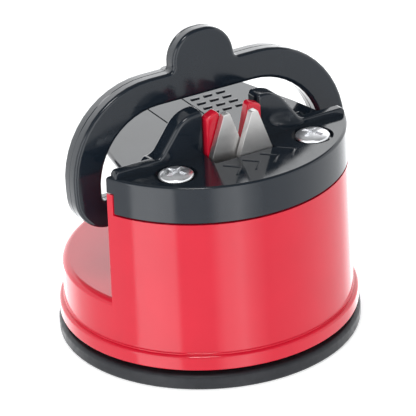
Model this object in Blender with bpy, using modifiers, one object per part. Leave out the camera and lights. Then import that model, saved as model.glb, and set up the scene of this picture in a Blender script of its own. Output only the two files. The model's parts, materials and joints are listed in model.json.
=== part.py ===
"""Suction-base V-slot sharpener: carbide plates in a guarded slot, on a lever-locked suction foot.

The origin is on the round base's axis, at the underside of the suction pad. +Z is up, the slot and
its tower face -Y, and the locking lever stands upright behind the tower (released).
"""
import math

import bmesh
import bpy
from mathutils import Matrix, Vector

MM = 0.001

# ---- driving dimensions, millimetres -------------------------------------------------------------
GAP = 0.3                      # clearance kept between neighbouring pieces
ROUND_STEPS = 72               # facets round the large turned pieces
SMALL_STEPS = 32               # facets round pins, screws and bosses

PAD_R, PAD_H = 31.0, 3.2       # rubber suction pad
PAD_RIM_IN, PAD_DISH = 26.5, 1.0
PAD_POCKET_R, PAD_POCKET_Z = 9.3, 2.3

BASE_Z = 4.25                  # lower edge of the housing, a little above the pad
FLANGE_R, FLANGE_TOP = 30.65, 7.4
WALL_R_LOW, WALL_Z_LOW = 29.65, 7.9
WALL_R_TOP, DECK_Z = 29.15, 43.4
DISC_Z, DISC_WALL, DISC_ROUND = 16.4, 2.0, 1.5
BASE_WALL = 2.0
GUIDE_R, GUIDE_WALL, GUIDE_Z = 4.3, 2.0, 8.0

TOWER_BACK = -10.4             # flat back of the tower
BACK_WALL = 1.3
BACK_WALL_TOP = 39.9
CAP_Z = 35.8                   # joint between the tower and the cap's skirt
LIP_R, LIP_IN = 27.3, 26.0     # the tower's lip, inside the cap's skirt
DECK_T = 2.0

PLATE_T = 1.4                  # the cap's rear plate, over the lever ring
PLATE_HALF = ((-10.2, 23.3), (-0.5, 21.5), (16.5, 17.0))   # (y, half width)
RIDGE_FRONT, RIDGE_BACK, HUMP_BACK = -12.4, TOWER_BACK, -8.2
RIDGE_Z, HUMP_Z = 44.8, 52.5
SLOT_HALF_LOW, SLOT_HALF_TOP = 1.1, 3.35                   # the V between the horns
HUMP_IN = 6.1

SCREW_X, SCREW_Y = 15.5, -17.2
SCREW_HEAD_R, SCREW_R = 3.5, 1.5
BORE_R = 4.2
BOSS_R = 4.0

CARBIDE_T = 1.5
CARBIDE_Z, CARBIDE_TOP = 35.2, 52.0
CARBIDE_LEFT_Y, CARBIDE_RIGHT_Y = -15.4, -17.2             # front face of each plate
HORN_FRONT, HORN_BACK, HORN_TOP, HORN_OUT = -13.6, -11.2, 52.4, 6.2
HOLDER_Z = 32.3
HOLDER_HALF, HOLDER_NECK = 11.0, 8.0
RETAINER_T = 2.0
CLAMP_X, CLAMP_Z = 9.0, 36.6

PIVOT = Vector((0.0, 0.0, 21.6))
LEVER_FOOT = Vector((0.0, -7.08, 16.0))                    # a point in the lever's front face
LEVER_LEAN = math.radians(5.95)
LEVER_T = 5.0
RING_HALF, RING_TOP, RING_BOTTOM = 31.1, 41.6, 13.9        # heights are along the leaning face
TAB_HALF, TAB_TOP, TAB_T = 6.9, 49.1, 3.0
HOLE_HALF, HOLE_TOP, HOLE_BOTTOM = 25.3, 35.7, 19.4
CHEEK_IN, CHEEK_OUT = 4.6, 9.6
CAM_R, CAM_LIFT = 4.0, 0.7
LEVER_SWING = math.radians(84)
WASHER_IN, WASHER_OUT, WASHER_T = 4.6, 10.4, 0.6
STEM_R, STEM_FLANGE_R, STEM_FLANGE_T = 4.0, 9.0, 1.3
PIN_R, PIN_HALF, CLIP_T = 1.5, 11.0, 0.6


# ---- scene and materials -------------------------------------------------------------------------
def clear_scene():
    for obj in list(bpy.data.objects):
        bpy.data.objects.remove(obj, do_unlink=True)


def new_collection(name):
    collection = bpy.data.collections.new(name)
    bpy.context.scene.collection.children.link(collection)
    return collection


def material(name, colour, roughness, metallic=0.0):
    mat = bpy.data.materials.new(name)
    mat.use_nodes = True
    shader = mat.node_tree.nodes["Principled BSDF"]
    shader.inputs["Base Color"].default_value = (*colour, 1.0)
    shader.inputs["Roughness"].default_value = roughness
    shader.inputs["Metallic"].default_value = metallic
    return mat


clear_scene()
PARTS = new_collection("suction_sharpener")
CUTTERS = new_collection("cutters")
RED = material("red_plastic", (0.78, 0.02, 0.04), 0.12)
BLACK = material("black_plastic", (0.012, 0.015, 0.019), 0.15)
RUBBER = material("black_rubber", (0.03, 0.032, 0.036), 0.55)
CARBIDE = material("ground_carbide", (0.45, 0.44, 0.44), 0.35, 1.0)
STEEL = material("bright_steel", (0.62, 0.63, 0.65), 0.22, 1.0)
NYLON = material("nylon", (0.6, 0.58, 0.52), 0.5)


# ---- modelling helpers ---------------------------------------------------------------------------
def place(name, mesh, mat, collection):
    obj = bpy.data.objects.new(name, mesh)
    collection.objects.link(obj)
    obj.data.materials.clear()
    if mat:
        obj.data.materials.append(mat)
    if collection is CUTTERS:
        obj.hide_render = True
        obj.display_type = "WIRE"
    return obj


def as_mesh(obj):
    """Replace an object by its evaluated mesh, in world space, with stray seams welded."""
    bpy.context.view_layer.update()
    evaluated = obj.evaluated_get(bpy.context.evaluated_depsgraph_get())
    mesh = bpy.data.meshes.new_from_object(evaluated)
    mesh.transform(obj.matrix_world)
    welded = bmesh.new()
    welded.from_mesh(mesh)
    bmesh.ops.remove_doubles(welded, verts=welded.verts, dist=0.00001)
    bmesh.ops.recalc_face_normals(welded, faces=welded.faces)
    welded.to_mesh(mesh)
    welded.free()
    bpy.data.objects.remove(obj, do_unlink=True)
    return mesh


def rounded(corners, steps=6):
    """Points of a closed outline whose corners (x, y, radius) are replaced by arcs."""
    points = []
    for index, (x, y, radius) in enumerate(corners):
        here = Vector((x, y))
        before = (Vector(corners[index - 1][:2]) - here).normalized()
        after = (Vector(corners[(index + 1) % len(corners)][:2]) - here).normalized()
        if radius == 0:
            points.append(here)
            continue
        half = before.angle(after) / 2
        centre = here + (before + after).normalized() * radius / math.sin(half)
        start = here + before * radius / math.tan(half) - centre
        end = here + after * radius / math.tan(half) - centre
        turn = start.angle_signed(end)
        count = max(2, round(steps * abs(turn) / (math.pi / 2)))
        for step in range(count + 1):
            points.append(centre + Matrix.Rotation(-turn * step / count, 2) @ start)
    return points


def slab(name, outline, low, high, turn=None, mat=None, collection=CUTTERS):
    """A flat outline with thickness from low to high, then moved by the matrix turn."""
    curve = bpy.data.curves.new(name, "CURVE")
    curve.dimensions = "2D"
    curve.fill_mode = "BOTH"
    curve.extrude = (high - low) / 2 * MM
    spline = curve.splines.new("POLY")
    spline.points.add(len(outline) - 1)
    for point, (x, y) in zip(spline.points, outline):
        point.co = (x * MM, y * MM, 0, 1)
    spline.use_cyclic_u = True
    flat = place(name + "_curve", curve, None, CUTTERS)
    flat.matrix_world = Matrix.Translation((0, 0, (low + high) / 2 * MM))
    mesh = as_mesh(flat)
    if turn:
        mesh.transform(turn)
        if turn.determinant() < 0:
            mesh.flip_normals()
    return place(name, mesh, mat, collection)


ALONG_Y = Matrix(((1, 0, 0, 0), (0, 0, 1, 0), (0, 1, 0, 0), (0, 0, 0, 1)))     # (x, z) outline
ALONG_X = Matrix(((0, 0, 1, 0), (1, 0, 0, 0), (0, 1, 0, 0), (0, 0, 0, 1)))     # (y, z) outline


def box(name, x, y, z, mat=None, collection=CUTTERS):
    """A box from its (low, high) pairs in millimetres."""
    cube = bmesh.new()
    size = [(pair[1] - pair[0]) * MM for pair in (x, y, z)]
    middle = [(pair[1] + pair[0]) / 2 * MM for pair in (x, y, z)]
    bmesh.ops.create_cube(cube, size=1.0)
    bmesh.ops.scale(cube, verts=cube.verts, vec=size)
    bmesh.ops.translate(cube, verts=cube.verts, vec=middle)
    mesh = bpy.data.meshes.new(name)
    cube.to_mesh(mesh)
    cube.free()
    return place(name, mesh, mat, collection)


def turned(name, profile, steps=ROUND_STEPS, mat=None, collection=CUTTERS, closed=False, place_by=None):
    """A profile of (radius, height), top to bottom down its outer side, turned about Z."""
    mesh = bpy.data.meshes.new(name)
    edges = [(i, i + 1) for i in range(len(profile) - 1)]
    if closed:
        edges.append((len(profile) - 1, 0))
    mesh.from_pydata([(r * MM, 0, z * MM) for r, z in profile], edges, [])
    line = place(name + "_profile", mesh, None, CUTTERS)
    screw = line.modifiers.new("turn", "SCREW")
    screw.steps = screw.render_steps = steps
    screw.use_merge_vertices = True
    screw.merge_threshold = 0.00001
    screw.use_smooth_shade = True
    solid = as_mesh(line)
    solid.transform(place_by or Matrix())
    return place(name, solid, mat, collection)


def rod(name, radius, low, high, place_by=None, steps=SMALL_STEPS, **kwargs):
    profile = [(0, high), (radius, high), (radius, low), (0, low)]
    return turned(name, profile, steps, place_by=place_by, **kwargs)


def boolean(target, tool, operation):
    modifier = target.modifiers.new(tool.name, "BOOLEAN")
    modifier.operation = operation
    modifier.object = tool
    modifier.solver = "EXACT"


def cut(target, *tools):
    for tool in tools:
        boolean(target, tool, "DIFFERENCE")


def fuse(target, *tools):
    for tool in tools:
        boolean(target, tool, "UNION")


def shade(obj, degrees=40):
    obj.data.shade_smooth()
    obj.data.set_sharp_from_angle(angle=math.radians(degrees))


def at(x, y, z=0):
    return Matrix.Translation((x * MM, y * MM, z * MM))


def facing_y(x, y, z):
    """Turns a piece built about +Z so that its top faces -Y, at (x, y, z)."""
    return at(x, y, z) @ Matrix.Rotation(math.pi / 2, 4, "X")


def facing_x(x, y, z):
    return at(x, y, z) @ Matrix.Rotation(math.pi / 2, 4, "Y")


def wall_radius(z):
    """Outer radius of the tapering wall at a height."""
    share = (z - WALL_Z_LOW) / (DECK_Z - WALL_Z_LOW)
    return WALL_R_LOW + (WALL_R_TOP - WALL_R_LOW) * share


# ---- suction foot --------------------------------------------------------------------------------
def suction_pad():
    pad = turned("suction_pad", [
        (0, PAD_POCKET_Z), (PAD_POCKET_R, PAD_POCKET_Z), (PAD_POCKET_R, PAD_H),
        (PAD_R - 0.5, PAD_H), (PAD_R, PAD_H - 0.5), (PAD_R, 0.5), (PAD_R - 0.5, 0),
        (PAD_RIM_IN, 0), (PAD_RIM_IN - 3.0, PAD_DISH), (0, PAD_DISH)],
        mat=RUBBER, collection=PARTS)
    shade(pad)


def pad_stem():
    """A post bonded into the pad, with a rounded eye for the lever's pin."""
    low = PAD_POCKET_Z + GAP
    flange_top = low + STEM_FLANGE_T
    post = turned("pad_stem", [
        (0, PIVOT.z + STEM_R), (STEM_R, PIVOT.z + STEM_R), (STEM_R, flange_top + 1.0),
        (STEM_R + 1.0, flange_top), (STEM_FLANGE_R, flange_top), (STEM_FLANGE_R, low), (0, low)],
        steps=40, mat=NYLON, collection=PARTS)
    eye_round = STEM_R - 0.05
    crown = rounded([(-8, PIVOT.z + 8, 0), (8, PIVOT.z + 8, 0), (8, PIVOT.z, 0), (eye_round, PIVOT.z, 0),
                     (eye_round, PIVOT.z + eye_round, eye_round - 0.1),
                     (-eye_round, PIVOT.z + eye_round, eye_round - 0.1),
                     (-eye_round, PIVOT.z, 0), (-8, PIVOT.z, 0)])
    cut(post, slab("eye_crown", crown, -8, 8, ALONG_X),
        rod("eye_bore", PIN_R + GAP, -8, 8, facing_x(*PIVOT), steps=24))
    shade(post)


# ---- housing -------------------------------------------------------------------------------------
def base_profile():
    """Half section of the base: flange, wall, disc top and stem guide, as a closed loop."""
    disc_r = wall_radius(DISC_Z - DISC_ROUND)
    edge = [(disc_r - DISC_ROUND * (1 - math.sin(a)), DISC_Z - DISC_ROUND * (1 - math.cos(a)))
            for a in [math.radians(18 * step) for step in range(6)]]
    flange = [(WALL_R_LOW, WALL_Z_LOW), (WALL_R_LOW + 0.2, FLANGE_TOP), (FLANGE_R - 0.3, FLANGE_TOP),
              (FLANGE_R, FLANGE_TOP - 0.4), (FLANGE_R, BASE_Z)]
    ceiling = DISC_Z - DISC_WALL
    inner = WALL_R_LOW - BASE_WALL
    inside = [(inner, BASE_Z), (inner, ceiling), (GUIDE_R + GUIDE_WALL, ceiling),
              (GUIDE_R + GUIDE_WALL, GUIDE_Z), (GUIDE_R, GUIDE_Z), (GUIDE_R, DISC_Z)]
    return edge + flange + inside


def tower_shell():
    """The flat-backed tower: a tapering round wall, a back wall and a lip for the cap."""
    low = DISC_Z - DISC_WALL / 2
    floor = DISC_Z + 0.2
    tower = turned("tower", [(0, BACK_WALL_TOP), (wall_radius(BACK_WALL_TOP), BACK_WALL_TOP),
                             (wall_radius(low), low), (0, low)])
    room = turned("tower_room", [(0, 50), (LIP_IN, 50), (LIP_IN, CAP_Z - 3), (LIP_R, CAP_Z - 5),
                                 (LIP_R, floor), (0, floor)])
    cut(room, box("room_back", (-40, 40), (TOWER_BACK - BACK_WALL, 40), (0, 60)))
    rebate = turned("cap_rebate", [(LIP_R, 45), (40, 45), (40, CAP_Z - GAP), (LIP_R, CAP_Z - GAP)],
                    closed=True)
    cut(rebate, box("rebate_back", (-40, 40), (TOWER_BACK - BACK_WALL, 40), (0, 60)))
    cut(tower, box("tower_back", (-40, 40), (TOWER_BACK, 40), (0, 60)), room, rebate)
    return tower


def housing():
    shell = turned("housing", base_profile(), mat=RED, collection=PARTS, closed=True)
    rib_low = DISC_Z - DISC_WALL / 2
    wall_y = TOWER_BACK - BACK_WALL / 2
    fuse(shell, tower_shell())
    for side in (-1, 1):
        tag = "left" if side < 0 else "right"
        rib_x = sorted((side * (HOLDER_NECK - 1.0), side * (HOLDER_NECK + 1.0)))
        boss_top = DECK_Z - DECK_T - GAP
        boss = rod("boss_" + tag, BOSS_R - 0.2, rib_low, boss_top, at(side * SCREW_X, SCREW_Y))
        web = box("web_" + tag, sorted((side * (SCREW_X - 0.8), side * (SCREW_X + 0.8))),
                  (SCREW_Y, wall_y), (rib_low, BACK_WALL_TOP - 2))
        rib = box("rib_" + tag, rib_x, (-LIP_R + 1.5, wall_y), (rib_low, HOLDER_Z - GAP))
        fuse(shell, boss, web, rib)
        cut(shell, rod("pilot_" + tag, SCREW_R + GAP, 28.0, 50, at(side * SCREW_X, SCREW_Y), steps=20))
    cut(shell, box("holder_notch", (-HOLDER_NECK - GAP, HOLDER_NECK + GAP),
                   (TOWER_BACK - BACK_WALL - 0.4, 0), (HOLDER_Z - GAP, 60)))
    shade(shell)


# ---- cap -----------------------------------------------------------------------------------------
def ridge_outline(side):
    """One hump in (x, z): low at the outside, then an S-curve up to a flat top beside the horns."""
    slope = (HUMP_Z - RIDGE_Z) / 1.35
    hump_x = 10.5
    corners = [(side * (hump_x + slope + 1.3), DECK_Z - 0.6, 0), (side * (hump_x + slope + 1.3), RIDGE_Z, 0),
               (side * (hump_x + slope), RIDGE_Z, 2.0), (side * hump_x, HUMP_Z, 8.0),
               (side * (HUMP_IN - 0.6), HUMP_Z, 0), (side * (HUMP_IN - 0.6), DECK_Z - 0.6, 0)]
    return rounded(corners, 8)


def rear_plate():
    right = [(half, y, 0) for y, half in PLATE_HALF[:-1]]
    end_y, end_half = PLATE_HALF[-1]
    right.append((end_half, end_y, 2.5))
    left = [(-x, y, r) for x, y, r in reversed(right)]
    return slab("rear_plate", rounded(right + left), DECK_Z - PLATE_T, DECK_Z)


def top_cap():
    skirt_r = wall_radius(CAP_Z)
    cap = turned("top_cap", [(0, DECK_Z), (WALL_R_TOP - 0.5, DECK_Z), (WALL_R_TOP - 0.15, DECK_Z - 0.15),
                             (WALL_R_TOP, DECK_Z - 0.5), (skirt_r, CAP_Z), (0, CAP_Z)],
                 mat=BLACK, collection=PARTS)
    hollow = turned("cap_hollow", [(0, DECK_Z - DECK_T), (LIP_R + GAP, DECK_Z - DECK_T),
                                   (LIP_R + GAP, 30), (0, 30)])
    step_y = TOWER_BACK - BACK_WALL - GAP
    cut(hollow, box("hollow_back", (-40, 40), (step_y, 40), (0, 60)))
    cut(cap, box("cap_back", (-40, 40), (TOWER_BACK, 40), (0, 60)), hollow,
        box("cap_step", (-40, 40), (step_y, 40), (0, BACK_WALL_TOP + GAP)))
    wall = box("low_wall", (-40, 40), (RIDGE_FRONT, RIDGE_BACK), (DECK_Z - 0.6, RIDGE_Z))
    trim_r = WALL_R_TOP - 0.3
    trim = turned("wall_trim", [(trim_r, 60), (60, 60), (60, 30), (trim_r, 30)], closed=True)
    cut(wall, trim)
    fuse(cap, wall, rear_plate())
    for side in (-1, 1):
        tag = "left" if side < 0 else "right"
        fuse(cap, slab("hump_" + tag, ridge_outline(side), RIDGE_FRONT, HUMP_BACK, ALONG_Y))
        cut(cap, rod("counterbore_" + tag, BORE_R, DECK_Z - 0.8, 60, at(side * SCREW_X, SCREW_Y)),
            rod("screw_hole_" + tag, SCREW_R + GAP, 30, 60, at(side * SCREW_X, SCREW_Y), steps=20))
    plates = (CARBIDE_RIGHT_Y - GAP, HORN_FRONT)
    well = HORN_OUT + GAP
    cut(cap, box("hump_gap", (-HUMP_IN, HUMP_IN), (-20, 0), (DECK_Z, 60)),
        box("plate_well", (-well - 0.2, well + 0.2), (plates[0], plates[1] + 0.1), (30, 60)),
        box("horn_well", (-well, well), (plates[1], HORN_BACK + GAP), (30, 60)),
        box("neck_well", (-HOLDER_NECK - GAP, HOLDER_NECK + GAP), (step_y - 1, 0), (30, DECK_Z - DECK_T)))
    shade(cap)


# ---- blade holder, carbide plates and their clamp --------------------------------------------------
def horn_outline(side):
    inner_low, inner_top = SLOT_HALF_LOW + GAP, SLOT_HALF_TOP - 0.4
    corners = [(side * inner_low, 38.0, 0), (side * inner_low, DECK_Z, 0),
               (side * inner_top, HORN_TOP - 2.0, 0.5),
               (side * (inner_top + 0.5), HORN_TOP, 0.8), (side * HORN_OUT, HORN_TOP - 1.2, 0.7),
               (side * HORN_OUT, 38.0, 0)]
    return rounded(corners, 6)


def blade_holder():
    """A block with two horns that stand behind the carbide plates and guide the blade."""
    top = DECK_Z - DECK_T - GAP
    plates_front = CARBIDE_RIGHT_Y - GAP
    holder = box("blade_holder", (-HOLDER_HALF, HOLDER_HALF), (plates_front, TOWER_BACK - BACK_WALL - 0.8),
                 (HOLDER_Z, top), mat=RED, collection=PARTS)
    neck = box("holder_neck", (-HOLDER_NECK, HOLDER_NECK),
               (TOWER_BACK - BACK_WALL - 2.0, TOWER_BACK), (HOLDER_Z, top - 0.6))
    fuse(holder, neck)
    for side in (-1, 1):
        tag = "left" if side < 0 else "right"
        horn = slab("horn_" + tag, horn_outline(side), HORN_FRONT, HORN_BACK, ALONG_Y)
        fuse(holder, horn)
        cut(holder, rod("clamp_hole_" + tag, 1.1 + GAP, -6, 6,
                        facing_y(side * CLAMP_X, plates_front, CLAMP_Z), steps=20))
    half = 6.6 + GAP
    cut(holder, box("plate_pocket", (-half, half), (-30, HORN_FRONT), (CARBIDE_Z - GAP, 60)))
    shade(holder, 30)


def carbide_plate(name, side, front):
    """An A-shaped ground plate; the two cross at their feet and leave a V between them."""
    foot_in, foot_out = -1.1, 6.3
    top_in, top_out = 1.95, 3.25
    corners = [(side * foot_in, CARBIDE_Z, 0), (side * foot_in, DECK_Z, 0),
               (side * top_in, CARBIDE_TOP, 0.55), (side * top_out, CARBIDE_TOP, 0.7),
               (side * foot_out, DECK_Z, 0), (side * foot_out, CARBIDE_Z, 0)]
    plate = slab(name, rounded(corners), front, front + CARBIDE_T, ALONG_Y, CARBIDE, PARTS)
    shade(plate, 30)


def blade_retainer():
    front = CARBIDE_RIGHT_Y - 2 * GAP
    bar = box("blade_retainer", (-HOLDER_HALF, HOLDER_HALF), (front - RETAINER_T, front),
              (HOLDER_Z, DECK_Z - DECK_T - GAP), mat=STEEL, collection=PARTS)
    for side in (-1, 1):
        cut(bar, rod("bar_hole_%d" % side, 1.1 + GAP, -10, 10,
                     facing_y(side * CLAMP_X, front, CLAMP_Z), steps=20))


def clamp_screw(name, side):
    head = CARBIDE_RIGHT_Y - 2 * GAP - RETAINER_T - GAP
    profile = [(0, 1.5), (1.6, 1.5), (2.1, 1.0), (2.1, 0), (1.1, 0), (1.1, -5.6), (0.5, -6.2), (0, -6.2)]
    screw = turned(name, profile, steps=24, mat=STEEL, collection=PARTS,
                   place_by=facing_y(side * CLAMP_X, head, CLAMP_Z))
    cut(screw, box(name + "_slot", (side * CLAMP_X - 3, side * CLAMP_X + 3), (head - 3, head - 0.8),
                   (CLAMP_Z - 0.3, CLAMP_Z + 0.3)))
    shade(screw, 30)


def cap_screw(name, side):
    """A countersunk-style oval head with a cross recess, in the deck's counterbore."""
    seat = DECK_Z - 0.8 + GAP
    dome = [(SCREW_HEAD_R * math.sin(a), seat + 0.5 + 0.75 * math.cos(a)) for a in
            [math.radians(18 * step) for step in range(6)]]
    shank = [(SCREW_HEAD_R - 0.2, seat), (SCREW_R, seat), (SCREW_R, 30.0), (0.6, 28.6), (0, 28.6)]
    screw = turned(name, dome + shank, steps=SMALL_STEPS, mat=STEEL, collection=PARTS,
                   place_by=at(side * SCREW_X, SCREW_Y))
    x, y = side * SCREW_X, SCREW_Y
    cut(screw, box(name + "_cross_x", (x - 1.9, x + 1.9), (y - 0.45, y + 0.45), (seat + 0.2, 60)),
        box(name + "_cross_y", (x - 0.45, x + 0.45), (y - 1.9, y + 1.9), (seat + 0.2, 60)))
    shade(screw, 35)


# ---- lever ---------------------------------------------------------------------------------------
def lever_frame():
    """Maps (x, height along the face, depth behind the front face) to the leaning lever."""
    up = Vector((0, math.sin(LEVER_LEAN), math.cos(LEVER_LEAN)))
    back = Vector((0, math.cos(LEVER_LEAN), -math.sin(LEVER_LEAN)))
    axes = Matrix((Vector((1, 0, 0)), up, back)).transposed().to_4x4()
    return Matrix.Translation(LEVER_FOOT * MM) @ axes


def ring_outline():
    right = [(TAB_HALF, TAB_TOP, TAB_HALF - 0.05), (TAB_HALF, RING_TOP, 1.3), (RING_HALF, RING_TOP, 18.8),
             (RING_HALF, RING_BOTTOM, 6.8), (CHEEK_OUT - 0.1, RING_BOTTOM, 3.0),
             (CHEEK_OUT - 0.1, 9.0, 0), (CHEEK_IN + 0.1, 9.0, 0), (CHEEK_IN + 0.1, RING_BOTTOM + 0.8, 1.0)]
    left = [(-x, s, r) for x, s, r in reversed(right)]
    return rounded(right + left, 7)


def hole_outline():
    right = [(HOLE_HALF, HOLE_TOP, 14.5), (HOLE_HALF, HOLE_BOTTOM, 1.2)]
    left = [(-x, s, r) for x, s, r in reversed(right)]
    return rounded(right + left, 7)


def cam_outline():
    """A cheek in (y, z): a slow spiral under the pin, and an arm up to the ring's foot."""
    points = []
    for step in range(25):
        angle = math.radians(-60) + math.radians(180) * step / 24     # from straight down, towards +Y
        share = min(max(angle / LEVER_SWING, 0), 1)
        radius = CAM_R + CAM_LIFT * share
        points.append((PIVOT.y + radius * math.sin(angle), PIVOT.z - radius * math.cos(angle)))
    return points + [(0.2, 27.2), (-0.8, 33.0), (-5.2, 33.0), (-6.0, 27.0)]


def lever():
    frame = lever_frame()
    ring = slab("lever", ring_outline(), 0, LEVER_T, frame, BLACK, PARTS)
    behind_tab = [(-10, RING_TOP + 0.1), (-10, 55), (10, 55), (10, RING_TOP + 0.1)]
    cut(ring, slab("ring_hole", hole_outline(), -5, 10, frame),
        slab("behind_tab", behind_tab, TAB_T, 10, frame))
    for side in (-1, 1):
        tag = "left" if side < 0 else "right"
        span = sorted((side * CHEEK_IN, side * CHEEK_OUT))
        fuse(ring, slab("cheek_" + tag, cam_outline(), *span, ALONG_X))
    cut(ring, rod("pin_bore", PIN_R + GAP, -20, 20, facing_x(*PIVOT), steps=24))
    shade(ring)


def lever_pin():
    groove_out = CHEEK_OUT + GAP + CLIP_T + 0.25
    groove_in = CHEEK_OUT + GAP - 0.1
    end = [(0, PIN_HALF), (PIN_R - 0.3, PIN_HALF), (PIN_R, PIN_HALF - 0.3), (PIN_R, groove_out),
           (PIN_R - 0.5, groove_out), (PIN_R - 0.5, groove_in), (PIN_R, groove_in)]
    other = [(r, -z) for r, z in reversed(end)]
    pin = turned("lever_pin", end + other, steps=24, mat=STEEL, collection=PARTS, place_by=facing_x(*PIVOT))
    shade(pin)


def pin_clip(name, side):
    """An open spring clip in the pin's groove, outside the lever's cheek."""
    inner, outer = PIN_R - 0.5 + GAP, 3.1
    near = CHEEK_OUT + GAP
    centre = sorted((side * near, side * (near + CLIP_T)))
    half = CLIP_T / 2
    ring = turned(name, [(inner, half), (outer, half), (outer, -half), (inner, -half)], steps=24,
                  mat=STEEL, collection=PARTS, closed=True,
                  place_by=facing_x(sum(centre) / 2, PIVOT.y, PIVOT.z))
    cut(ring, box(name + "_mouth", (side * 5, side * 20) if side > 0 else (-20, -5),
                  (-0.9, 0.9), (PIVOT.z, PIVOT.z + 5)))
    shade(ring)


def cam_washer():
    low = DISC_Z + GAP
    high = low + WASHER_T
    profile = [(WASHER_IN, high), (WASHER_OUT, high), (WASHER_OUT, low), (WASHER_IN, low)]
    washer = turned("cam_washer", profile, steps=48, mat=STEEL, collection=PARTS, closed=True)
    shade(washer)


suction_pad()
pad_stem()
housing()
top_cap()
blade_holder()
carbide_plate("carbide_left", -1, CARBIDE_LEFT_Y)
carbide_plate("carbide_right", 1, CARBIDE_RIGHT_Y)
blade_retainer()
for hand, word in ((-1, "left"), (1, "right")):
    clamp_screw("clamp_screw_" + word, hand)
    cap_screw("cap_screw_" + word, hand)
    pin_clip("pin_clip_" + word, hand)
lever()
lever_pin()
cam_washer()
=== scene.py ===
"""Looks for the suction-base V-slot sharpener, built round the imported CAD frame."""
import json
import math

import bmesh
import bpy
from mathutils import Matrix, Vector
from mathutils.geometry import tessellate_polygon


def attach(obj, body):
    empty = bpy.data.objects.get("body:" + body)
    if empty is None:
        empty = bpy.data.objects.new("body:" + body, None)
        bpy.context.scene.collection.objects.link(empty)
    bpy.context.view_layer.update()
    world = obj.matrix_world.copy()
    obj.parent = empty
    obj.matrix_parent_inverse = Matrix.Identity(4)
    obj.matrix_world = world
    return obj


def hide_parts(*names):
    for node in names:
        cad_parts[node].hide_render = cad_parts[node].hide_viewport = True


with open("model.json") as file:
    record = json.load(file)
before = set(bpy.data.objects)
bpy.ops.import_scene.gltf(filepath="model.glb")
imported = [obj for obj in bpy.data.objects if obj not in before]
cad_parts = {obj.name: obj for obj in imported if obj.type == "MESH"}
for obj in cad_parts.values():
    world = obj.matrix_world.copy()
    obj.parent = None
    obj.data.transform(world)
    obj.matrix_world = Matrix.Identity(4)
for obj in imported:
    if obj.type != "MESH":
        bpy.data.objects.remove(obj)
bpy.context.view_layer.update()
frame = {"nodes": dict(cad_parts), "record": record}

MM = 0.001

# ---- sizes, millimetres, as in the CAD part --------------------------------------------------------
PAD_R, PAD_H = 31.0, 3.2
BASE_Z, FLANGE_R, FLANGE_TOP = 4.25, 30.65, 7.4
WALL_R_LOW, WALL_Z_LOW, WALL_R_TOP, DECK_Z = 29.65, 7.9, 29.15, 43.4
DISC_Z, DISC_WALL, DISC_ROUND = 16.4, 2.0, 1.5
TOWER_BACK, WALL_FRONT, WALL_TOP = -10.4, -11.7, 39.9
CAP_Z, DECK_T = 35.8, 2.0
LIP_R, LIP_IN = 27.3, 26.0
RIDGE_FRONT, HUMP_BACK, RIDGE_Z, HUMP_Z = -12.4, -8.2, 44.8, 52.5
SLOT_LOW, SLOT_TOP, HUMP_IN = 1.1, 3.35, 6.1
SCREW_X, SCREW_Y, BORE_R = 15.5, -17.2, 4.2
BORE_DEPTH, BOSS_R, SHANK_HOLE_R = 0.8, 3.8, 1.8
HUMP_SHOULDER, HUMP_STEEPNESS = 10.5, 1.35
RIDGE_END, RIDGE_GAP = 26.2, 6.7
RIM_ROUND, SINK = 0.6, 0.03    # the deck's rounded rim; how far one moulding's face stops short of another's
CARBIDE_T, CARBIDE_Z, CARBIDE_TOP = 1.5, 35.2, 52.0
CARBIDE_LEFT_Y, CARBIDE_RIGHT_Y = -15.4, -17.2
HORN_FRONT, HORN_BACK, HORN_TOP, HORN_OUT = -13.6, -11.2, 52.4, 6.2
HOLDER_Z, HOLDER_HALF, HOLDER_NECK = 32.3, 11.0, 8.0
CLAMP_X, CLAMP_Z = 9.0, 36.6
PIVOT = Vector((0.0, 0.0, 21.6))
LEVER_FOLD, CAM_R, CAM_LIFT = 84, 4.0, 0.7
TAB_T, PIN_HOLE_R = 3.0, 1.8
LEVER_FOOT, LEVER_LEAN, LEVER_T = Vector((0.0, -7.08, 16.0)), math.radians(5.95), 5.0
GAP = 0.3
FINE = 192                     # facets round the large turned pieces
WELD, CUT_WELD, BEVEL_WELD = 2e-6, 3e-6, 5e-7      # metres; below these, points are one point
SAME_POINT = 0.002             # the same in an outline, millimetres


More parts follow.
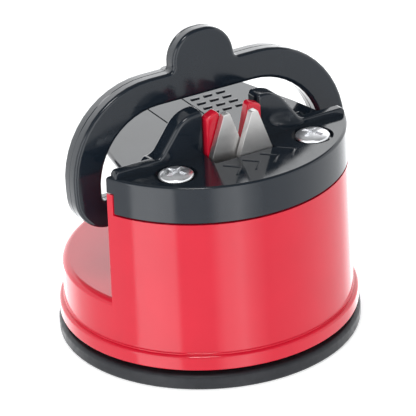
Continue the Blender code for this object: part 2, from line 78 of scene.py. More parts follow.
# ---- materials -------------------------------------------------------------------------------------
class Shader:
    """A Principled material with a short way to add its pattern nodes."""

    def __init__(self, name, colour, roughness, metallic=0.0, **sockets):
        self.mat = bpy.data.materials.new(name)
        self.mat.use_nodes = True
        self.tree = self.mat.node_tree
        self.bsdf = self.tree.nodes["Principled BSDF"]
        self.bsdf.inputs["Base Color"].default_value = (*colour, 1.0)
        self.bsdf.inputs["Roughness"].default_value = roughness
        self.bsdf.inputs["Metallic"].default_value = metallic
        for key, value in sockets.items():
            self.bsdf.inputs[key.replace("_", " ")].default_value = value
        self.where = self.tree.nodes.new("ShaderNodeTexCoord").outputs["Object"]
        self.normal = None

    def add(self, kind, **values):
        node = self.tree.nodes.new(kind)
        for key, value in values.items():
            if hasattr(node, key):
                setattr(node, key, value)
            else:
                node.inputs[key.replace("_", " ")].default_value = value
        return node

    def link(self, out, to):
        self.tree.links.new(out, to)

    def noise(self, scale, detail=2.0, stretch=None):
        """Noise at a scale in cycles per metre, stretched per axis if asked."""
        source = self.where
        if stretch:
            mapping = self.add("ShaderNodeMapping")
            mapping.inputs["Scale"].default_value = stretch
            self.link(source, mapping.inputs["Vector"])
            source = mapping.outputs["Vector"]
        node = self.add("ShaderNodeTexNoise", Scale=scale, Detail=detail)
        self.link(source, node.inputs["Vector"])
        return node.outputs["Fac"]

    def spread(self, fac, low, high, socket):
        """Drives a number socket between low and high by a factor."""
        node = self.add("ShaderNodeMapRange", From_Min=0.3, From_Max=0.7, To_Min=low, To_Max=high)
        self.link(fac, node.inputs["Value"])
        self.link(node.outputs["Result"], self.bsdf.inputs[socket])

    def tint(self, fac, dark, light):
        """Drives the base colour between two colours by a factor."""
        ramp = self.add("ShaderNodeValToRGB")
        ramp.color_ramp.elements[0].position = 0.35
        ramp.color_ramp.elements[1].position = 0.65
        ramp.color_ramp.elements[0].color = (*dark, 1.0)
        ramp.color_ramp.elements[1].color = (*light, 1.0)
        self.link(fac, ramp.inputs["Fac"])
        self.link(ramp.outputs["Color"], self.bsdf.inputs["Base Color"])

    def bump(self, fac, height, strength=1.0):
        """Adds a relief of a real height in metres."""
        node = self.add("ShaderNodeBump", Strength=strength, Distance=height)
        self.link(fac, node.inputs["Height"])
        if self.normal:
            self.link(self.normal, node.inputs["Normal"])
        self.normal = node.outputs["Normal"]
        self.link(self.normal, self.bsdf.inputs["Normal"])


def red_plastic():
    """Polished ABS: slow moulding waviness, faint marbling and a breath of handling haze."""
    s = Shader("red_plastic", (0.60, 0.0065, 0.027), 0.1, Specular_IOR_Level=0.5)
    s.tint(s.noise(90, 3), (0.585, 0.006, 0.026), (0.615, 0.007, 0.028))
    s.spread(s.noise(260, 4), 0.07, 0.14, "Roughness")
    s.bump(s.noise(110, 1), 0.00002, 0.35)
    return s.mat


def black_plastic():
    s = Shader("black_plastic", (0.007, 0.011, 0.018), 0.12, Specular_IOR_Level=0.5)
    s.tint(s.noise(120, 3), (0.008, 0.0128, 0.0198), (0.01, 0.015, 0.022))
    s.spread(s.noise(300, 4), 0.08, 0.16, "Roughness")
    s.bump(s.noise(120, 1), 0.00002, 0.35)
    return s.mat


def black_rubber():
    s = Shader("black_rubber", (0.028, 0.03, 0.034), 0.42, Specular_IOR_Level=0.3)
    s.tint(s.noise(500, 4), (0.014, 0.0155, 0.019), (0.02, 0.0215, 0.026))
    s.spread(s.noise(900, 3), 0.34, 0.52, "Roughness")
    s.bump(s.noise(4200, 2), 0.00002, 0.5)
    return s.mat


def ground_carbide():
    """Fine grinding lines across the plate, over a slightly mottled grey."""
    s = Shader("ground_carbide", (0.68, 0.67, 0.66), 0.38, 1.0)
    s.tint(s.noise(700, 4), (0.66, 0.65, 0.64), (0.7, 0.69, 0.68))
    lines = s.noise(1400, 2, (0.12, 1.0, 3.2))
    s.spread(lines, 0.35, 0.41, "Roughness")
    s.bump(lines, 0.000002, 0.06)
    return s.mat


def bright_steel():
    s = Shader("bright_steel", (0.94, 0.95, 0.97), 0.34, 1.0)
    s.tint(s.noise(1200, 3), (0.9, 0.91, 0.93), (0.97, 0.98, 1.0))
    s.spread(s.noise(1500, 3), 0.3, 0.4, "Roughness")
    s.bump(s.noise(2600, 2), 0.000008, 0.3)
    return s.mat


def nylon():
    s = Shader("nylon", (0.62, 0.6, 0.53), 0.45, Subsurface_Weight=0.1)
    s.tint(s.noise(300, 3), (0.58, 0.56, 0.49), (0.66, 0.64, 0.57))
    s.spread(s.noise(800, 3), 0.36, 0.52, "Roughness")
    s.bump(s.noise(3000, 2), 0.00001, 0.4)
    return s.mat


SLOTS = {"red_plastic": red_plastic(), "black_plastic": black_plastic(), "black_rubber": black_rubber(),
         "ground_carbide": ground_carbide(), "bright_steel": bright_steel(), "nylon": nylon()}


# ---- mesh helpers ----------------------------------------------------------------------------------
def place(name, mesh):
    obj = bpy.data.objects.new(name, mesh)
    bpy.context.scene.collection.objects.link(obj)
    return obj


def as_data(name, work):
    """A new mesh from a bmesh, which is freed."""
    mesh = bpy.data.meshes.new(name)
    work.to_mesh(mesh)
    work.free()
    return mesh


def as_mesh(obj, weld=WELD):
    """The evaluated mesh in world space, welded; the object goes."""
    bpy.context.view_layer.update()
    evaluated = obj.evaluated_get(bpy.context.evaluated_depsgraph_get())
    mesh = bpy.data.meshes.new_from_object(evaluated)
    mesh.transform(obj.matrix_world)
    work = bmesh.new()
    work.from_mesh(mesh)
    bmesh.ops.remove_doubles(work, verts=work.verts, dist=weld)
    bmesh.ops.recalc_face_normals(work, faces=work.faces)
    work.to_mesh(mesh)
    work.free()
    bpy.data.objects.remove(obj, do_unlink=True)
    return mesh


def rounded(corners, steps=12):
    """Points of a closed outline whose corners (x, y, radius) are replaced by arcs."""
    points = []
    for index, (x, y, radius) in enumerate(corners):
        here = Vector((x, y))
        before = (Vector(corners[index - 1][:2]) - here).normalized()
        after = (Vector(corners[(index + 1) % len(corners)][:2]) - here).normalized()
        if radius == 0:
            points.append(here)
            continue
        half = before.angle(after) / 2
        centre = here + (before + after).normalized() * radius / math.sin(half)
        start = here + before * radius / math.tan(half) - centre
        end = here + after * radius / math.tan(half) - centre
        turn = start.angle_signed(end)
        count = max(3, round(steps * abs(turn) / (math.pi / 2)))
        for step in range(count + 1):
            points.append(centre + Matrix.Rotation(-turn * step / count, 2) @ start)
    return points


def both_sides(right):
    """A symmetric outline from its right half, listed top to bottom."""
    return right + [(-x, y, r) for x, y, r in reversed(right)]


def turns_left(points):
    return sum(p.x * q.y - q.x * p.y for p, q in zip(points, points[1:] + points[:1])) > 0


def inset(points, amount):
    """The closed outline moved to its left."""
    moved = []
    for before, point, after in zip(points[-1:] + points[:-1], points, points[1:] + points[:1]):
        into, out = (point - before).normalized(), (after - point).normalized()
        side, other = Vector((-into.y, into.x)), Vector((-out.y, out.x))
        moved.append(point + (side + other) * (amount / (1 + side.dot(other))))
    return moved


def slab(name, outlines, low, high, edge=0.0, turn=None, edge_steps=4, seam=0.0):
    """Flat outlines (the first outside, the rest holes) with thickness, rounded edges and a seam groove."""
    loops = []
    for index, outline in enumerate(outlines):
        points = [Vector((p[0], p[1])) for p in outline]
        points = [p for p, q in zip(points, points[1:] + points[:1]) if (p - q).length > SAME_POINT]
        loops.append(points[::-1] if turns_left(points) == (index > 0) else points)
    rise = [math.radians(90 * step / edge_steps) for step in range(edge_steps, -1, -1)] if edge else [0.0]
    levels = [(low + edge * (1 - math.sin(a)), edge * (1 - math.cos(a))) for a in rise]
    upper_half = [(high + low - z, back) for z, back in reversed(levels)]
    if seam:
        middle = (low + high) / 2
        levels += [(middle - seam, 0.0), (middle, seam), (middle + seam, 0.0)]
    levels += upper_half
    work = bmesh.new()
    ends = [[], []]
    for points in loops:
        rows = [[work.verts.new((p.x, p.y, z)) for p in inset(points, back)] for z, back in levels]
        for lower, upper in zip(rows, rows[1:]):
            for k in range(len(points)):
                work.faces.new((lower[k - 1], lower[k], upper[k], upper[k - 1]))
        ends[0].append(rows[0])
        ends[1].append(rows[-1])
    flat = [[v.co.to_2d().to_3d() for v in row] for row in ends[0]]
    for corners in tessellate_polygon(flat):
        a, b, c = (sum(flat, [])[k] for k in corners)
        upward = corners if (b - a).cross(c - a).z > 0 else corners[::-1]
        for end, order in ((0, upward[::-1]), (1, upward)):
            row = sum(ends[end], [])
            work.faces.new([row[k] for k in order])
    mesh = as_data(name, work)
    mesh.transform(Matrix.Scale(MM, 4))
    if turn:
        mesh.transform(turn)
        if turn.determinant() < 0:
            mesh.flip_normals()
    return place(name, mesh)


ALONG_Y = Matrix(((1, 0, 0, 0), (0, 0, 1, 0), (0, 1, 0, 0), (0, 0, 0, 1)))     # (x, z) outline
ALONG_X = Matrix(((0, 0, 1, 0), (1, 0, 0, 0), (0, 1, 0, 0), (0, 0, 0, 1)))     # (y, z) outline


def box(name, x, y, z, edge=0.0):
    """A box from its (low, high) pairs, with rounded edges if asked."""
    work = bmesh.new()
    bmesh.ops.create_cube(work, size=1.0)
    bmesh.ops.scale(work, verts=work.verts, vec=[(pair[1] - pair[0]) * MM for pair in (x, y, z)])
    bmesh.ops.translate(work, verts=work.verts, vec=[(pair[1] + pair[0]) / 2 * MM for pair in (x, y, z)])
    if edge:
        bmesh.ops.bevel(work, geom=work.edges, offset=edge * MM, segments=4, profile=0.5, affect="EDGES")
    return place(name, as_data(name, work))


def turned(name, profile, steps=FINE, closed=False, turn=None):
    """A profile of (radius, height), top to bottom down its outer side, turned about Z."""
    mesh = bpy.data.meshes.new(name)
    edges = [(i, i + 1) for i in range(len(profile) - 1)]
    if closed:
        edges.append((len(profile) - 1, 0))
    mesh.from_pydata([(r * MM, 0, z * MM) for r, z in profile], edges, [])
    line = place(name + "_profile", mesh)
    screw = line.modifiers.new("turn", "SCREW")
    screw.steps = screw.render_steps = steps
    screw.use_merge_vertices = True
    screw.merge_threshold = WELD
    solid = as_mesh(line)
    if turn:
        solid.transform(turn)
    return place(name, solid)


def rod(name, radius, low, high, turn=None, steps=48):
    return turned(name, [(0, high), (radius, high), (radius, low), (0, low)], steps, turn=turn)


def arc(x, y, radius, start, end, steps=8):
    """Profile points round a centre, angles in degrees from +X."""
    return [(x + radius * math.cos(math.radians(start + (end - start) * i / steps)),
             y + radius * math.sin(math.radians(start + (end - start) * i / steps)))
            for i in range(steps + 1)]


def at(x, y, z=0.0):
    return Matrix.Translation((x * MM, y * MM, z * MM))


def facing_y(x, y, z):
    return at(x, y, z) @ Matrix.Rotation(math.pi / 2, 4, "X")


def facing_x(x, y, z):
    return at(x, y, z) @ Matrix.Rotation(math.pi / 2, 4, "Y")


def combine(target, tools, operation):
    """Applies booleans to target and removes the tools."""
    for tool in tools:
        modifier = target.modifiers.new(tool.name, "BOOLEAN")
        modifier.operation = operation
        modifier.object = tool
        modifier.solver = "EXACT"
    name = target.name
    bpy.context.view_layer.update()
    evaluated = target.evaluated_get(bpy.context.evaluated_depsgraph_get())
    mesh = bpy.data.meshes.new_from_object(evaluated)
    for old in [target, *tools]:
        bpy.data.objects.remove(old, do_unlink=True)
    work = bmesh.new()
    work.from_mesh(mesh)
    bmesh.ops.remove_doubles(work, verts=work.verts, dist=CUT_WELD)
    bmesh.ops.dissolve_degenerate(work, edges=work.edges, dist=CUT_WELD)
    work.to_mesh(mesh)
    work.free()
    return place(name, mesh)


def cut(target, *tools):
    return combine(target, tools, "DIFFERENCE")


def fuse(target, *tools):
    return combine(target, tools, "UNION")


def soften(obj, width, segments, degrees):
    """Rounds the edges sharper than the angle."""
    bevel = obj.modifiers.new("edges", "BEVEL")
    bevel.width = width * MM
    bevel.segments = segments
    bevel.limit_method = "ANGLE"
    bevel.angle_limit = math.radians(degrees)
    name = obj.name
    return place(name, as_mesh(obj, BEVEL_WELD))


def finish_piece(obj, slot, body, *nodes, degrees=32):
    """Shades a piece, gives it its slot's material, and ties it to its CAD body and nodes."""
    obj.data.shade_smooth()
    obj.data.set_sharp_from_angle(angle=math.radians(degrees))
    obj.data.materials.clear()
    obj.data.materials.append(SLOTS[slot])
    flats = obj.modifiers.new("flat faces", "WEIGHTED_NORMAL")
    flats.keep_sharp = True
    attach(obj, body)
    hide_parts(*nodes)


def wall_radius(z):
    return WALL_R_LOW + (WALL_R_TOP - WALL_R_LOW) * (z - WALL_Z_LOW) / (DECK_Z - WALL_Z_LOW)


# ---- suction foot ----------------------------------------------------------------------------------
def suction_pad():
    """Rubber disc with a rounded rim and a thin moulded lip round its edge."""
    top = [(0, 2.3), (9.3, 2.3), (9.3, PAD_H), (27.0, PAD_H)]
    rim = arc(PAD_R - 0.9, PAD_H - 0.9, 0.9, 90, 0) + arc(PAD_R - 0.7, 0.7, 0.7, 0, -90)
    under = [(26.5, 0), (23.5, 1.0), (0, 1.0)]
    pad = turned("rubber_pad", top + rim + under)
    finish_piece(pad, "black_rubber", "suction_foot", "suction_pad")


# ---- housing ---------------------------------------------------------------------------------------
def housing_profile():
    """Closed half section: tapering wall, flange with rounded shoulders, and the base's inside."""
    wall = [(4.3, WALL_TOP), (wall_radius(WALL_TOP), WALL_TOP), (wall_radius(CAP_Z), CAP_Z),
            (wall_radius(24), 24), (wall_radius(DISC_Z), DISC_Z), (wall_radius(10), 10)]
    shoulder = arc(WALL_R_LOW + 0.42, WALL_Z_LOW + 0.1, 0.4, 180, 255, 5)
    flange = (arc(FLANGE_R - 0.75, FLANGE_TOP - 0.75, 0.75, 85, 0, 8)
              + arc(FLANGE_R - 0.3, BASE_Z + 0.3, 0.3, 0, -90, 5))
    ceiling = DISC_Z - DISC_WALL
    inside = [(27.65, BASE_Z), (27.65, ceiling), (6.3, ceiling), (6.3, 8.0), (4.3, 8.0)]
    return wall + shoulder + flange + inside


def housing():
    shell = turned("red_housing", housing_profile(), closed=True)
    disc_r = wall_radius(DISC_Z - DISC_ROUND)
    fillet = arc(disc_r - DISC_ROUND + 0.05, DISC_Z - DISC_ROUND, DISC_ROUND, 0, 90, 10)
    below = DISC_Z - DISC_ROUND - 0.4
    rear = turned("rear_space", [(0, 60), (45, 60), (45, below), (disc_r + 0.4, below)]
                  + fillet + [(0, DISC_Z)])
    rear = cut(rear, box("front_keep", (-50, 50), (-50, TOWER_BACK), (0, 70)))
    room = turned("room", [(0, 50), (LIP_IN, 50), (LIP_IN, CAP_Z - 3), (LIP_R, CAP_Z - 5),
                           (LIP_R, DISC_Z + 0.2), (0, DISC_Z + 0.2)])
    room = cut(room, box("room_back", (-40, 40), (WALL_FRONT, 40), (0, 60)))
    rebate = turned("rebate", [(LIP_R, 45), (40, 45), (40, CAP_Z - GAP), (LIP_R, CAP_Z - GAP)], closed=True)
    rebate = cut(rebate, box("rebate_back", (-40, 40), (WALL_FRONT, 40), (0, 60)))
    shell = cut(shell, rear, room, rebate)
    inner = []
    for side in (-1, 1):
        boss = rod("boss%d" % side, BOSS_R, DISC_Z - 1, DECK_Z - DECK_T - GAP, at(side * SCREW_X, SCREW_Y))
        web = box("web%d" % side, sorted((side * (SCREW_X - 0.8), side * (SCREW_X + 0.8))),
                  (SCREW_Y, WALL_FRONT + 1), (DISC_Z - 1, WALL_TOP - 2))
        rib = box("rib%d" % side, sorted((side * 7.0, side * 9.0)), (-LIP_R + 1.5, WALL_FRONT + 1),
                  (DISC_Z - 1, HOLDER_Z - GAP))
        inner += [boss, web, rib]
    shell = fuse(shell, *inner)
    pilots = [rod("pilot%d" % side, SHANK_HOLE_R, 28, 50, at(side * SCREW_X, SCREW_Y)) for side in (-1, 1)]
    notch = box("notch", (-HOLDER_NECK - GAP, HOLDER_NECK + GAP), (WALL_FRONT - 0.4, 0), (HOLDER_Z - GAP, 60))
    shell = cut(shell, notch, *pilots)
    finish_piece(shell, "red_plastic", "body", "housing")


# ---- cap -------------------------------------------------------------------------------------------
def hump_outline(side):
    """A hump from the front: a foot that sweeps up from the ridge, and a steep side at the slot."""
    foot = HUMP_SHOULDER + (HUMP_Z - RIDGE_Z) / HUMP_STEEPNESS
    low = RIDGE_Z - SINK
    corners = [(side * (foot + 3.6), DECK_Z - 0.8, 0), (side * (foot + 1.7), low, 0.8),
               (side * foot, low, 2.6), (side * HUMP_SHOULDER, HUMP_Z, 6.2),
               (side * HUMP_IN, HUMP_Z, 0.9), (side * HUMP_IN, DECK_Z - 0.8, 0)]
    return rounded(corners, 16)


def cap_marks():
    """Plain moulded marks on the cap: four chevrons in front, rows of short bars on the rear plate."""
    low, high = DECK_Z - 0.3, DECK_Z + 0.2
    reach, half_high, stroke = 2.4, 2.5, 0.55          # a chevron's length, half height and stroke
    half_long, half_wide = 0.95, 0.3                   # a bar's
    marks = []
    for index, (x, y) in enumerate(((-3.2, -21.6), (1.1, -21.6), (5.4, -21.2), (9.7, -20.6))):
        half = [(x, y), (x - reach, y + half_high), (x - reach - stroke, y + half_high), (x - stroke, y)]
        chevron = half + [(a, 2 * y - b) for a, b in half[2:0:-1]]
        marks.append(slab("chevron%d" % index, [chevron], low, high, 0.1, None, 2))
    for row, y in enumerate((3.6, 6.2, 8.8, 11.4)):
        for column, x in enumerate((5.2, 8.2, 11.2)):
            marks.append(box("bar%d_%d" % (row, column), (x - half_long, x + half_long),
                             (y - half_wide, y + half_wide), (low, high), 0.06))
    work = bmesh.new()
    for mark in marks:
        work.from_mesh(mark.data)
        bpy.data.objects.remove(mark)
    finish_piece(place("cap_marks", as_data("cap_marks", work)), "black_plastic", "body")


def top_cap():
    deck_edge = arc(WALL_R_TOP - RIM_ROUND, DECK_Z - RIM_ROUND, RIM_ROUND, 90, 0, 8)
    skirt = wall_radius(CAP_Z)
    cap = turned("black_cap", [(0, DECK_Z)] + deck_edge
                 + [(skirt, CAP_Z + 0.15), (skirt - 0.15, CAP_Z), (0, CAP_Z)])
    under = DECK_Z - DECK_T
    step_y = WALL_FRONT - GAP
    hollow = turned("hollow", [(0, under), (LIP_R + GAP, under), (LIP_R + GAP, 30), (0, 30)])
    hollow = cut(hollow, box("hollow_back", (-40, 40), (step_y, 40), (0, 60)))
    cap = cut(cap, box("cap_back", (-40, 40), (TOWER_BACK, 40), (0, 60)), hollow,
              box("cap_step", (-40, 40), (step_y, 40), (0, WALL_TOP + GAP)))
    ridge = both_sides([(RIDGE_END, RIDGE_Z, 1.1), (RIDGE_END, DECK_Z - 1.0, 0)])
    wall = slab("low_wall", [rounded(ridge)], RIDGE_FRONT, TOWER_BACK + SINK, 0.35, ALONG_Y)
    wall = cut(wall, box("wall_gap", (-RIDGE_GAP, RIDGE_GAP), (-20, 0), (30, 60)))
    plate_right = [(23.5, -11.5, 0), (21.5, -0.5, 0), (17.0, 16.5, 2.5)]
    plate = slab("plate", [rounded(both_sides(plate_right))], DECK_Z - 1.4, DECK_Z - SINK, 0.55)
    humps = [slab("hump%d" % side, [hump_outline(side)], RIDGE_FRONT - 0.04, HUMP_BACK, 0.75, ALONG_Y)
             for side in (-1, 1)]
    cap = fuse(fuse(cap, plate), wall)
    for hump in humps:
        cap = fuse(cap, hump)
    tools = []
    for side in (-1, 1):
        tools.append(rod("bore%d" % side, BORE_R, DECK_Z - BORE_DEPTH, 60, at(side * SCREW_X, SCREW_Y), 64))
        tools.append(rod("hole%d" % side, SHANK_HOLE_R, 30, 60, at(side * SCREW_X, SCREW_Y)))
    for x, half in ((-5.1, 0.17), (3.1, 0.17)):
        tools.append(box("groove", (x - half, x + half), (2.2, 17.0), (DECK_Z - 0.3, DECK_Z + 1)))
    tools.append(box("plate_well", (-6.7, 6.7), (CARBIDE_RIGHT_Y - GAP, HORN_FRONT + 0.1), (30, 60)))
    tools.append(box("horn_well", (-6.5, 6.5), (HORN_FRONT, HORN_BACK + GAP), (30, 60)))
    tools.append(box("neck_well", (-HOLDER_NECK - GAP, HOLDER_NECK + GAP), (step_y - 1, 0), (30, under)))
    cap = cut(cap, *tools)
    finish_piece(cap, "black_plastic", "body", "top_cap")


# ---- blade holder, plates and screws ---------------------------------------------------------------
def horn_outline(side):
    low, top = SLOT_LOW + GAP, SLOT_TOP - 0.4
    corners = [(side * low, 38.0, 0), (side * low, DECK_Z, 0), (side * top, HORN_TOP - 2.0, 0.6),
               (side * (top + 0.5), HORN_TOP, 0.8), (side * HORN_OUT, HORN_TOP - 1.2, 0.8),
               (side * HORN_OUT, 38.0, 0)]
    return rounded(corners, 12)


def blade_holder():
    top = DECK_Z - DECK_T - GAP
    front = CARBIDE_RIGHT_Y - GAP
    holder = box("red_holder", (-HOLDER_HALF, HOLDER_HALF), (front, WALL_FRONT - 0.8), (HOLDER_Z, top), 0.3)
    neck = box("neck", (-HOLDER_NECK, HOLDER_NECK), (WALL_FRONT - 2.0, TOWER_BACK), (HOLDER_Z, top - 0.6),
               0.25)
    horns = [slab("horn%d" % side, [horn_outline(side)], HORN_FRONT, HORN_BACK, 0.5, ALONG_Y)
             for side in (-1, 1)]
    holder = fuse(holder, neck, *horns)
    holes = [rod("clamp_hole%d" % side, 1.4, -6, 6, facing_y(side * CLAMP_X, front, CLAMP_Z))
             for side in (-1, 1)]
    pocket = box("pocket", (-6.9, 6.9), (-30, HORN_FRONT), (CARBIDE_Z - GAP, 60))
    holder = cut(holder, pocket, *holes)
    finish_piece(holder, "red_plastic", "body", "blade_holder")


def carbide_plate(name, node, side, front):
    corners = [(side * -1.1, CARBIDE_Z, 0), (side * -1.1, DECK_Z, 0), (side * 1.95, CARBIDE_TOP, 0.35),
               (side * 3.25, CARBIDE_TOP, 0.45), (side * 6.3, DECK_Z, 0), (side * 6.3, CARBIDE_Z, 0)]
    plate = slab(name, [rounded(corners)], front, front + CARBIDE_T, 0.08, ALONG_Y, 2)
    finish_piece(plate, "ground_carbide", "body", node, degrees=25)


def cap_screw(name, node, side):
    """Oval head with a cross recess, its rim just under the deck."""
    seat = DECK_Z - BORE_DEPTH + GAP
    dome = [(3.42 * math.sin(math.radians(a)), seat + 0.5 + 0.78 * math.cos(math.radians(a)))
            for a in range(0, 91, 6)]
    shank = [(3.5, seat + 0.35), (3.3, seat), (1.5, seat), (1.5, 30.0), (0.6, 28.6), (0, 28.6)]
    screw = turned(name, dome + shank, 96)
    wing = both_sides([(2.25, seat + 3, 0), (2.25, seat + 1.05, 0), (0.9, seat + 0.72, 0)])
    arms = []
    for angle in (25, 115):
        turn = Matrix.Rotation(math.radians(angle), 4, "Z") @ ALONG_Y
        arms.append(slab("arm%d" % angle, [wing], -0.5, 0.5, 0, turn))
    screw = cut(screw, fuse(*arms))
    screw.data.transform(at(side * SCREW_X, SCREW_Y))
    screw = soften(screw, 0.09, 2, 35)
    finish_piece(screw, "bright_steel", "body", node)


# ---- lever -----------------------------------------------------------------------------------------
def lever_frame():
    """Maps (x, height along the face, depth behind the front face) to the leaning lever."""
    up = Vector((0, math.sin(LEVER_LEAN), math.cos(LEVER_LEAN)))
    back = Vector((0, math.cos(LEVER_LEAN), -math.sin(LEVER_LEAN)))
    axes = Matrix((Vector((1, 0, 0)), up, back)).transposed().to_4x4()
    return Matrix.Translation(LEVER_FOOT * MM) @ axes


def cam_outline():
    """A cheek from its side: a cam that grows as the lever folds, and the arm up to the ring."""
    points = []
    for step in range(61):
        angle = math.radians(-60 + 180 * step / 60)
        share = min(max(angle / math.radians(LEVER_FOLD), 0), 1)
        radius = CAM_R + CAM_LIFT * share
        points.append((radius * math.sin(angle), PIVOT.z - radius * math.cos(angle)))
    return points + [(0.2, 27.2), (-0.8, 33.0), (-5.2, 33.0), (-6.0, 27.0)]


def lever():
    lean = lever_frame()
    right = [(6.9, 49.1, 6.3), (6.9, 41.6, 1.1), (31.1, 41.6, 18.8), (31.1, 13.9, 6.8), (9.5, 13.9, 3.0),
             (9.5, 9.0, 0), (4.7, 9.0, 0), (4.7, 14.7, 1.0)]
    hole = [(25.3, 35.7, 14.5), (25.3, 19.4, 1.2)]
    outlines = [rounded(both_sides(right)), rounded(both_sides(hole))]
    ring = slab("black_lever", outlines, 0, LEVER_T, 0.8, lean, 6, 0.14)
    behind = ((-10, 41.7), (-10, 55), (10, 55), (10, 41.7))
    ring = cut(ring, slab("behind_tab", [behind], TAB_T, 10, 0, lean))
    cheeks = [slab("cheek%d" % side, [cam_outline()], *sorted((side * 4.6, side * 9.6)), 0.3, ALONG_X)
              for side in (-1, 1)]
    ring = fuse(ring, *cheeks)
    ring = cut(ring, rod("pin_bore", PIN_HOLE_R, -20, 20, facing_x(*PIVOT)))
    finish_piece(ring, "black_plastic", "lever", "lever")


def dress_inner_nodes():
    """Gives the CAD nodes that stay their finish."""
    parts = {entry["node"]: entry["material_slot"] for entry in frame["record"]["subparts"]}
    for node in ("pad_stem", "blade_retainer", "clamp_screw_left", "clamp_screw_right",
                 "lever_pin", "pin_clip_left", "pin_clip_right", "cam_washer"):
        obj = frame["nodes"][node]
        obj.data.materials.clear()
        obj.data.materials.append(SLOTS[parts[node]])


# ---- studio ----------------------------------------------------------------------------------------
CAMERA_AZIMUTH, CAMERA_RISE, CAMERA_ROLL = -28.93, 26.31, math.radians(2.8)
CAMERA_TARGET, CAMERA_DISTANCE = Vector((0.68, 0.0, 24.55)) * MM, 0.5922
LENS = 253.0


def direction(azimuth, rise):
    """The way out from the object at a compass angle from the front and a height angle, in degrees."""
    a, e = math.radians(azimuth), math.radians(rise)
    return Vector((math.sin(a) * math.cos(e), -math.cos(a) * math.cos(e), math.sin(e)))


def camera():
    data = bpy.data.cameras.new("camera")
    data.lens, data.sensor_width = LENS, 36.0
    data.clip_start, data.clip_end = 0.01, 20.0
    obj = bpy.data.objects.new("camera", data)
    bpy.context.scene.collection.objects.link(obj)
    back = direction(CAMERA_AZIMUTH, CAMERA_RISE)
    right = direction(CAMERA_AZIMUTH + 90, 0)
    up = back.cross(right)
    turn_right = right * math.cos(CAMERA_ROLL) - up * math.sin(CAMERA_ROLL)
    turn_up = right * math.sin(CAMERA_ROLL) + up * math.cos(CAMERA_ROLL)
    axes = Matrix((turn_right, turn_up, back)).transposed()
    obj.matrix_world = Matrix.Translation(CAMERA_TARGET + back * CAMERA_DISTANCE) @ axes.to_4x4()
    bpy.context.scene.camera = obj


def softbox(name, azimuth, rise, distance, width, height, power):
    """A soft area light aimed at the object."""
    light = bpy.data.lights.new(name, "AREA")
    light.shape, light.size, light.size_y, light.energy = "RECTANGLE", width, height, power
    obj = bpy.data.objects.new(name, light)
    back = direction(azimuth, rise)
    obj.matrix_world = (Matrix.Translation(back * distance + Vector((0, 0, 0.025)))
                        @ (-back).to_track_quat("-Z", "Y").to_matrix().to_4x4())
    bpy.context.scene.collection.objects.link(obj)


# (compass angle from the front, brightness): a bright backdrop, and a softbox either side of the camera
ROOM = ((-180, 2.5), (-168, 2.4), (-150, 1.5), (-130, 1.2), (-89, 1.2), (-87, 2.9), (-70, 3.0), (-54, 2.6),
        (-51, 1.05), (-26, 1.0), (-17, 2.1), (-10, 2.35), (-3, 2.7), (3, 1.95), (10, 1.45), (18, 1.0),
        (40, 1.1), (70, 1.4), (104, 1.5), (130, 2.5), (180, 2.5))
ROOM_MAX = 3.0
ROOM_TONE = (0.98, 0.99, 1.0)
# (height of the direction, share of that brightness)
ROOM_RISE = ((-1.0, 0.5), (-0.7, 1.0), (0.5, 1.0), (0.58, 0.22), (1.0, 0.12))


def fill_ramp(node, stops):
    """Sets a colour ramp to (position, colour) stops, the first and last in its own two elements."""
    elements = node.color_ramp.elements
    for index, (where, colour) in enumerate(stops):
        if index == 0:
            stop = elements[0]
        elif index == len(stops) - 1:
            stop = elements[-1]
        else:
            stop = elements.new(where)
        stop.position = where
        stop.color = (*colour, 1.0)


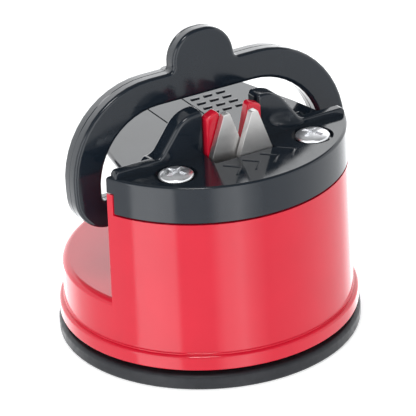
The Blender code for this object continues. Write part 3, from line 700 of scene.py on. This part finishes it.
def room_light():
    """A world lit by direction alone: one ramp goes round the horizon, one dims it towards the zenith."""
    world = bpy.data.worlds.new("white room")
    bpy.context.scene.world = world
    world.use_nodes = True
    tree = world.node_tree
    make, join = tree.nodes.new, tree.links.new
    axes = make("ShaderNodeSeparateXYZ")
    join(make("ShaderNodeTexCoord").outputs["Generated"], axes.inputs["Vector"])
    front = make("ShaderNodeMath")
    front.operation = "MULTIPLY"
    front.inputs[1].default_value = -1.0
    join(axes.outputs["Y"], front.inputs[0])
    compass = make("ShaderNodeMath")
    compass.operation = "ARCTAN2"
    join(axes.outputs["X"], compass.inputs[0])
    join(front.outputs[0], compass.inputs[1])
    share = make("ShaderNodeMapRange")
    share.inputs["From Min"].default_value, share.inputs["From Max"].default_value = -math.pi, math.pi
    join(compass.outputs[0], share.inputs["Value"])
    ramp = make("ShaderNodeValToRGB")
    fill_ramp(ramp, [((angle + 180) / 360, [level / ROOM_MAX * tone for tone in ROOM_TONE])
                     for angle, level in ROOM])
    join(share.outputs["Result"], ramp.inputs["Fac"])
    height = make("ShaderNodeMapRange")
    height.inputs["From Min"].default_value = -1.0
    join(axes.outputs["Z"], height.inputs["Value"])
    rise = make("ShaderNodeValToRGB")
    fill_ramp(rise, [((z + 1) / 2, (level, level, level)) for z, level in ROOM_RISE])
    join(height.outputs["Result"], rise.inputs["Fac"])
    blend = make("ShaderNodeMix")
    blend.data_type, blend.blend_type = "RGBA", "MULTIPLY"
    blend.inputs["Factor"].default_value = 1.0
    tints = [socket for socket in blend.inputs if socket.type == "RGBA"]
    join(ramp.outputs["Color"], tints[0])
    join(rise.outputs["Color"], tints[1])
    background = tree.nodes["Background"]
    background.inputs["Strength"].default_value = ROOM_MAX
    join([socket for socket in blend.outputs if socket.type == "RGBA"][0], background.inputs["Color"])


def studio():
    bpy.context.scene.view_settings.view_transform = "Standard"
    room_light()
    softbox("front_top", -40, 64, 0.95, 0.24, 0.24, 1.9)
    work = bmesh.new()
    bmesh.ops.create_grid(work, x_segments=8, y_segments=8, size=1.5)
    floor = place("floor", as_data("floor", work))
    floor.visible_glossy = False
    s = Shader("floor", (0.9, 0.9, 0.9), 0.8)
    s.spread(s.noise(20, 2), 0.75, 0.85, "Roughness")
    s.bsdf.inputs["Emission Color"].default_value = (1.0, 1.0, 1.0, 1.0)
    s.bsdf.inputs["Emission Strength"].default_value = 0.5
    floor.data.materials.append(s.mat)


suction_pad()
housing()
top_cap()
cap_marks()
blade_holder()
carbide_plate("left_plate", "carbide_left", -1, CARBIDE_LEFT_Y)
carbide_plate("right_plate", "carbide_right", 1, CARBIDE_RIGHT_Y)
cap_screw("left_screw", "cap_screw_left", -1)
cap_screw("right_screw", "cap_screw_right", 1)
lever()
dress_inner_nodes()
studio()
camera()
